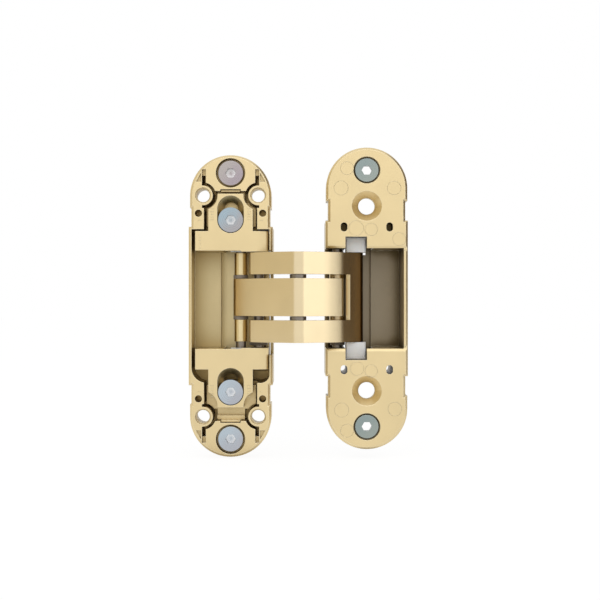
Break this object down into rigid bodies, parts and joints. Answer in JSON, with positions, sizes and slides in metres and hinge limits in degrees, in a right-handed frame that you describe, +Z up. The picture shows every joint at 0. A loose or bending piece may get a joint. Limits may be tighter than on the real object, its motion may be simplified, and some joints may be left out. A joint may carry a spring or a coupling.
{
  "type": "concealed invisible door hinge",
  "caption": "Satin gold concealed door hinge, opened flat: two mortised housings joined by a pair of crossed arms on pins and slider blocks, with adjusting screws.",
  "frame": {"origin": "centre of the frame half's four screw holes, on its front face", "axes": "+X from the frame half to the door half, +Y into the mortises, +Z up along the hinge"},
  "size_m": [0.0799, 0.0332, 0.1128],
  "materials": {
    "satin_gold": "satin gold plating on cast zinc",
    "zinc_screw": "turned and zinc plated",
    "zinc_plug": "zinc plated",
    "steel_pin": "ground",
    "grey_washer": "bearing plastic",
    "nylon": "natural nylon"
  },
  "bodies": {
    "frame_housing": {"frame_housing": "satin_gold"},
    "end_blocks": {"upper_end_block": "satin_gold", "lower_end_block": "satin_gold"},
    "upper_adjusting_screw": {"upper_adjusting_screw": "zinc_screw"},
    "lower_adjusting_screw": {"lower_adjusting_screw": "zinc_screw"},
    "upper_clamp_screw": {"upper_clamp_screw": "zinc_screw"},
    "lower_clamp_screw": {"lower_clamp_screw": "zinc_screw"},
    "carrier": {"carrier": "satin_gold", "frame_pivot_pin": "steel_pin", "frame_pivot_washer": "grey_washer"},
    "outer_arm": {"outer_arm": "satin_gold", "centre_pin": "steel_pin", "upper_centre_washer": "steel_pin", "lower_centre_washer": "steel_pin", "door_slider_pin": "steel_pin"},
    "inner_arm": {"inner_arm": "satin_gold", "frame_slider_pin": "steel_pin", "upper_spacer_washer": "grey_washer", "lower_spacer_washer": "grey_washer", "upper_spacer_sleeve": "satin_gold", "lower_spacer_sleeve": "satin_gold"},
    "frame_sliders": {"upper_frame_slider": "nylon", "lower_frame_slider": "nylon"},
    "door_housing": {"door_housing": "satin_gold", "door_pivot_pin": "steel_pin", "door_pivot_washer": "grey_washer"},
    "door_sliders": {"upper_door_slider": "nylon", "lower_door_slider": "nylon"},
    "upper_adjuster_plug": {"upper_adjuster_plug": "zinc_plug"},
    "lower_adjuster_plug": {"lower_adjuster_plug": "zinc_plug"}
  },
  "joints": [
    {"name": "depth_slide", "type": "slide", "parent": "frame_housing", "child": "end_blocks", "axis": [0, -1, 0], "range_m": [-0.001, 0.001]},
    {"name": "upper_adjusting_turn", "type": "hinge", "parent": "frame_housing", "child": "upper_adjusting_screw", "pos_m": [0, 0, 0.0485], "axis": [0, -1, 0], "range_deg": [-361, 361]},
    {"name": "lower_adjusting_turn", "type": "hinge", "parent": "frame_housing", "child": "lower_adjusting_screw", "pos_m": [0, 0, -0.0485], "axis": [0, -1, 0], "range_deg": [-361, 361]},
    {"name": "upper_clamp_turn", "type": "hinge", "parent": "end_blocks", "child": "upper_clamp_screw", "pos_m": [0, 0, 0.0314], "axis": [0, -1, 0], "range_deg": [0, 360]},
    {"name": "lower_clamp_turn", "type": "hinge", "parent": "end_blocks", "child": "lower_clamp_screw", "pos_m": [0, 0, -0.0314], "axis": [0, -1, 0], "range_deg": [0, 360]},
    {"name": "height_slide", "type": "slide", "parent": "end_blocks", "child": "carrier", "axis": [0, 0, 1], "range_m": [-0.0026, 0]},
    {"name": "fold", "type": "hinge", "parent": "carrier", "child": "outer_arm", "pos_m": [0.00995, 0.0106, 0], "axis": [0, 0, -1], "range_deg": [0, 95.98]},
    {"name": "arm_cross", "type": "hinge", "parent": "outer_arm", "child": "inner_arm", "pos_m": [0.0246, -0.0035, 0], "axis": [0, 0, -1], "range_deg": [-12.2, 0.2]},
    {"name": "frame_slider_turn", "type": "hinge", "parent": "inner_arm", "child": "frame_sliders", "pos_m": [0.0034, 0.00777, 0], "axis": [0, 0, -1], "range_deg": [-84.2, 0.2]},
    {"name": "door_fold", "type": "hinge", "parent": "inner_arm", "child": "door_housing", "pos_m": [0.03925, 0.0106, 0], "axis": [0, 0, -1], "range_deg": [-0.2, 96.2]},
    {"name": "door_slider_turn", "type": "hinge", "parent": "outer_arm", "child": "door_sliders", "pos_m": [0.0458, 0.00777, 0], "axis": [0, 0, -1], "range_deg": [-0.2, 84.2]},
    {"name": "upper_plug_turn", "type": "hinge", "parent": "door_housing", "child": "upper_adjuster_plug", "pos_m": [0.04965, 0, 0.04955], "axis": [0, -1, 0], "continuous": true},
    {"name": "lower_plug_turn", "type": "hinge", "parent": "door_housing", "child": "lower_adjuster_plug", "pos_m": [0.04965, 0, -0.04395], "axis": [0, -1, 0], "continuous": true}
  ],
  "couplings": [
    {"joint": "arm_cross", "follows": "fold", "ratio": -0.1247},
    {"joint": "door_fold", "follows": "fold", "ratio": 1},
    {"joint": "frame_slider_turn", "follows": "fold", "ratio": -0.8753},
    {"joint": "door_slider_turn", "follows": "fold", "ratio": 0.8753},
    {"joint": "upper_adjusting_turn", "follows": "depth_slide", "rad_per_m": 6283.2},
    {"joint": "lower_adjusting_turn", "follows": "depth_slide", "rad_per_m": 6283.2}
  ]
}
